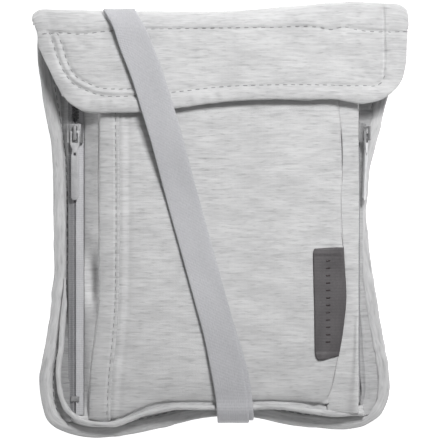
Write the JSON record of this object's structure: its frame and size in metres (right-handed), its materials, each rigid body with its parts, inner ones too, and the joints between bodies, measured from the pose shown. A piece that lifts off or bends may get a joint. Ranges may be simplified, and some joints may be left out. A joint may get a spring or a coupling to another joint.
{
  "type": "neck pouch wallet",
  "caption": "Flat fabric travel pouch with a fold-over flap, side zips and a webbing neck strap wrapped round it.",
  "frame": {"origin": "on the surface the pouch lies on, under the middle of its box without the strap", "axes": "+X across the pouch to its right side, +Y up to the fold of the flap, +Z out of the front"},
  "size_m": [0.1555, 0.1792, 0.0278],
  "materials": {
    "jersey": "heathered light grey jersey",
    "trim": "heathered mid grey jersey binding",
    "webbing": "ribbed grey webbing",
    "lining": "smooth dark grey foil-backed lining",
    "patch": "hook and loop pile",
    "label": "woven dark grey label",
    "coil": "nylon coil",
    "metal": "grey lacquered zinc"
  },
  "bodies": {
    "pouch": {"back_panel": "jersey", "rear_fold": "jersey", "rear_rfid_lining": "lining", "divider": "lining", "front_rfid_lining": "lining", "front_panel": "jersey", "pocket_hem": "trim", "left_trim_band": "trim", "side_label": "label", "loop_patch": "patch", "edge_binding": "trim", "bottom_welt": "trim", "bottom_gusset": "jersey", "left_gusset_front": "jersey", "left_gusset_rear": "jersey", "right_gusset_front": "jersey", "right_gusset_rear": "jersey", "left_zip_tape_inner": "trim", "left_zip_tape_outer": "trim", "left_zip_chain": "coil", "left_zip_stop": "metal", "right_zip_tape_inner": "trim", "right_zip_tape_outer": "trim", "right_zip_chain": "coil", "right_zip_stop": "metal", "left_strap_tab": "webbing", "right_strap_tab": "webbing", "strap_hank_left": "webbing", "strap_hank_right": "webbing", "strap_leg_left": "webbing", "strap_leg_right": "webbing", "strap_turn": "webbing"},
    "flap": {"flap_fold": "jersey", "flap_panel": "jersey", "flap_lining": "lining", "flap_binding": "jersey", "hook_patch": "patch"},
    "left_slider": {"left_slider": "metal"},
    "left_pull": {"left_pull": "metal"},
    "right_slider": {"right_slider": "metal"},
    "right_pull": {"right_pull": "metal"},
    "strap_band": {"strap_front_band": "webbing"}
  },
  "joints": [
    {"name": "flap_open", "type": "hinge", "parent": "pouch", "child": "flap", "pos_m": [0, 0.0896, 0.009], "axis": [-1, 0, 0], "range_deg": [0, 170]},
    {"name": "strap_unwrap", "type": "hinge", "parent": "pouch", "child": "strap_band", "pos_m": [0.0054, -0.0835, 0.0082], "axis": [1, 0, 0], "range_deg": [0, 170]},
    {"name": "left_zip_run", "type": "slide", "parent": "pouch", "child": "left_slider", "axis": [0, -1, 0], "range_m": [0, 0.1]},
    {"name": "right_zip_run", "type": "slide", "parent": "pouch", "child": "right_slider", "axis": [0, -1, 0], "range_m": [0, 0.1]},
    {"name": "left_pull_swing", "type": "hinge", "parent": "left_slider", "child": "left_pull", "pos_m": [-0.0595, 0.036, 0.0117], "axis": [-1, 0, 0], "range_deg": [0, 120]},
    {"name": "right_pull_swing", "type": "hinge", "parent": "right_slider", "child": "right_pull", "pos_m": [0.06013, 0.036, 0.01034], "axis": [-0.342, 0, 0.9397], "range_deg": [0, 120]}
  ],
  "couplings": [
    {"joint": "strap_unwrap", "follows": "flap_open", "ratio": 1}
  ]
}
